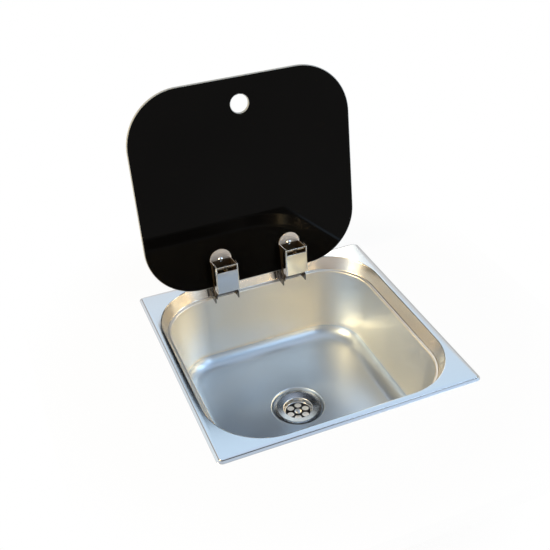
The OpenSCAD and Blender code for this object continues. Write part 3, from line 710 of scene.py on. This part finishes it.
def build_strainer():
    """The dished flange, turned round its axis, and a flat web with round-edged holes."""
    top = filleted(FLANGE, FLANGE_FILLETS)[1:-1] + [Vector(p) for p in FLANGE_EDGE]
    under = shifted(filleted(FLANGE, FLANGE_FILLETS)[1:], GRID_T)[::-1]
    low_z = GRID_Z - GRID_T
    path = [(WEB_R, GRID_Z), *top, *under, (WEB_R, low_z)]
    # The dish is polished, and its edge, underside and grid are darker: near-black steel, painted
    # shade in the gap round the edge and painted reflection of the black lid on the grid.
    dish = len(top) - len(FLANGE_EDGE)
    slots = [1] + [0] * dish + [1] * (len(path) - 2 - dish)
    bm = bmesh.new()
    strip(bm, [waste_circle(r, z, FLANGE_STEPS) for r, z in path], slots, closed=False)
    loop, bearings = web_sector()
    for number in range(GRID_HOLES):
        spin = math.radians(GRID_TURN + 360 * number / GRID_HOLES)

        def place(points, down):
            return [Vector((
                WASTE_X + x * math.cos(spin) - y * math.sin(spin),
                x * math.sin(spin) + y * math.cos(spin),
                GRID_Z - down,
            )) * MM for x, y in points]

        def hole(radius):
            return [
                (GRID_CIRCLE_R + radius * math.cos(b), radius * math.sin(b)) for b in bearings
            ]

        rings = [place(loop, 0)]
        rings += [place(hole(GRID_HOLE_R + out), down) for out, down in HOLE_EDGE]
        rings += [place(loop, GRID_T)]
        strip(bm, rings, [1] * len(rings), closed=False)
    screw_hole = [waste_circle(SCREW_HOLE_R, z, SCREW_HOLE_STEPS) for z in (GRID_Z, low_z)]
    strip(bm, screw_hole, [1], closed=False)
    bmesh.ops.remove_doubles(bm, verts=bm.verts, dist=MERGE_WITHIN * MM)
    obj = finish_mesh("strainer_flange", bm, ["polished", "grid"])
    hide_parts("strainer")
    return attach(obj, "sink")


# ---------------------------------------------------------------- hinge covers
def build_cover(name, node, centre):
    """A folded channel that stands on its open side, with a slot below its top edge."""
    corners = [
        (COVER_HALF, COVER_DEEP), (COVER_HALF, 0), (-COVER_HALF, 0), (-COVER_HALF, COVER_DEEP),
    ]
    outer = filleted(corners, [COVER_BEND_R, COVER_BEND_R])
    slot_column = len(outer) // 2
    outer[slot_column:slot_column] = [Vector((COVER_SLOT_HALF, 0)), Vector((-COVER_SLOT_HALF, 0))]
    inner = shifted(outer, -COVER_WALL)

    def at(p, s):
        up = COVER_UP + s * math.cos(COVER_LEAN) + p.y * math.sin(COVER_LEAN)
        out = COVER_OUT + s * math.sin(COVER_LEAN) - p.y * math.cos(COVER_LEAN)
        return on_lid(centre + p.x, up, out)

    bm = bmesh.new()

    def add_face(*verts):
        bm.faces.new(verts).smooth = True

    skins = [
        [[bm.verts.new(at(p, s)) for p in path] for s in COVER_ROWS] for path in (outer, inner)
    ]
    rows, columns = len(COVER_ROWS) - 1, len(outer) - 1
    for skin in skins:
        for i in range(rows):
            for j in range(columns):
                if (i, j) != (COVER_SLOT_ROW, slot_column):
                    add_face(skin[i][j], skin[i][j + 1], skin[i + 1][j + 1], skin[i + 1][j])
    # The sheet's thickness: pairs of corners (row, column) round the outside and round the slot
    rims = []
    for low, high, left, right in (
        (0, rows, 0, columns),
        (COVER_SLOT_ROW, COVER_SLOT_ROW + 1, slot_column, slot_column + 1),
    ):
        rims += [(i, j, i, j + 1) for i in (low, high) for j in range(left, right)]
        rims += [(i, j, i + 1, j) for j in (left, right) for i in range(low, high)]
    a, b = skins
    for i, j, k, l in rims:
        add_face(a[i][j], a[k][l], b[k][l], b[i][j])
    obj = finish_mesh(name, bm, ["cover"], sharp=COVER_SHARP_ANGLE, weighted=False)
    bevel_edges(obj, COVER_BEVEL, COVER_BEVEL_ANGLE)
    weigh_normals(obj)
    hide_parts(node)
    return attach(obj, "lid")


# ---------------------------------------------------------------- CAD nodes that stay
def dress(node, material, bevel):
    obj = NODES[node]
    obj.data.materials.clear()
    obj.data.materials.append(MATERIALS[material])
    for polygon in obj.data.polygons:
        polygon.material_index = 0
        polygon.use_smooth = True
    if bevel:
        bevel_edges(obj, bevel, BEVEL_ANGLE)
    weigh_normals(obj)


# node: (material, width of the bevel in millimetres)
DRESSING = {
    "rim_seal": ("foam", 0),
    "clamp_brackets": ("zinc", 0.3),
    "clamp_screws": ("zinc", 0),
    "clamp_pads": ("grey", 0.3),
    "strainer_screw": ("screw", 0.15),
    "strainer_washer": ("rubber", 0),
    "waste_seal": ("rubber", 0),
    "waste_body": ("trap", 0.4),
    "screw_insert": ("brass", 0),
    "tail_seal": ("rubber", 0),
    "hose_tail": ("white", 0),
    "hose_nut": ("white", 0.5),
    "left_bracket": ("bracket", 0.15),
    "right_bracket": ("bracket", 0.15),
    "bracket_rivets": ("polished", 0),
    "left_pivot_pin": ("bracket", 0.2),
    "right_pivot_pin": ("bracket", 0.2),
    "left_drum": ("grey", 0),
    "right_drum": ("grey", 0),
    "left_frame": ("frame", 0.15),
    "right_frame": ("frame", 0.15),
    "pivot_bushes": ("nylon", 0),
    "cross_pins": ("inner", 0.15),
    "left_shoe": ("inner", 0.2),
    "right_shoe": ("inner", 0.2),
    "left_spring": ("inner", 0),
    "right_spring": ("inner", 0),
    "left_guide": ("inner", 0),
    "right_guide": ("inner", 0),
    "disc_screws": ("polished", 0.15),
    "glass_gaskets": ("grey", 0),
    "outer_gaskets": ("grey", 0),
    "outer_discs": ("polished", 0.3),
}


# ---------------------------------------------------------------- worktop, floor, lights
def build_stage():
    """A worktop with a round-cornered cut-out, and a floor below it."""
    rings = [square_ring(CORE, CORE, WORKTOP_CUT_R, at_height(WORKTOP_TOP))]
    for d, z in WORKTOP_EDGE:
        rings.append(square_ring(WORKTOP_CORE, WORKTOP_CORE, WORKTOP_R + d, at_height(z)))
    rings.append(square_ring(CORE, CORE, WORKTOP_CUT_R, at_height(WORKTOP_UNDER)))
    bm = bmesh.new()
    strip(bm, rings, [0] * len(rings))
    worktop = finish_mesh("worktop", bm, ["worktop"])
    worktop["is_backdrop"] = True
    bm = bmesh.new()
    bmesh.ops.create_grid(bm, x_segments=FLOOR_STEPS, y_segments=FLOOR_STEPS, size=FLOOR_HALF)
    bmesh.ops.translate(bm, verts=bm.verts, vec=(0, 0, FLOOR_AT))
    floor = finish_mesh("floor", bm, ["floor"], weighted=False)
    floor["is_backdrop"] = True


def add_lamp(name, place, height, power, colour):
    """A soft box that the camera doesn't see."""
    data = bpy.data.lights.new(name, "AREA")
    data.shape = "RECTANGLE"
    data.size = LAMP_WIDTH
    data.size_y = height
    data.energy = power
    data.color = colour
    obj = bpy.data.objects.new(name, data)
    bpy.context.scene.collection.objects.link(obj)
    turn = (Vector(place) - LAMP_TARGET).to_track_quat("Z", "Y").to_matrix()
    obj.matrix_world = Matrix.Translation(place) @ turn.to_4x4()
    obj.visible_camera = False


def light_world():
    """A pale studio room: each side has its own colours, and all share the ceiling's.

    Low down, the rays that show the background see white in its place, like the floor.
    """
    world = bpy.data.worlds.new("studio")
    bpy.context.scene.world = world
    world.use_nodes = True
    n = Nodes(world.node_tree)
    ray = n.coords.outputs["Generated"]
    parts = n.add("ShaderNodeSeparateXYZ")
    n.put(parts.inputs[0], ray)
    height = parts.outputs["Z"]
    level = n.vector("NORMALIZE", n.vector("MULTIPLY", ray, (1, 1, 0)))
    total = None
    for direction, colours in ROOM.items():
        stops = [(place, scaled(c, 1 / ROOM_LEVEL)) for place, c in zip(ROOM_STOPS, colours)]
        facing = n.maths("MAXIMUM", n.vector("DOT_PRODUCT", level, direction), 0)
        share = n.maths("MULTIPLY", facing, facing)
        part = n.vector("SCALE", n.ramp(height, stops), scale=share)
        total = part if total is None else n.vector("ADD", total, part)
    room = n.add("ShaderNodeBackground")
    n.put(room.inputs["Strength"], ROOM_LEVEL)
    n.put(room.inputs["Color"], total)
    white = n.add("ShaderNodeBackground")
    n.put(white.inputs["Color"], (1, 1, 1))
    low = n.spread(height, 1, 0, WHITE_TO, WHITE_GONE)
    seen = n.maths("MULTIPLY", n.background_rays(), low)
    out = n.add("ShaderNodeOutputWorld")
    n.put(out.inputs["Surface"], n.blend(seen, room.outputs[0], white.outputs[0]))


add_camera()
build_bowl()
build_lid()
build_strainer()
build_cover("left_cover_channel", "left_cover", -HINGE_X)
build_cover("right_cover_channel", "right_cover", HINGE_X)
for name, (material, bevel) in DRESSING.items():
    dress(name, material, bevel)
build_stage()
light_world()
for settings in LAMPS:
    add_lamp(*settings)

scene = bpy.context.scene
scene.view_settings.view_transform = "Standard"

boxes = {"cad": cad_box, "visual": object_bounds()}
{k: [[float(c) for c in corner] for corner in v] for k, v in boxes.items()}
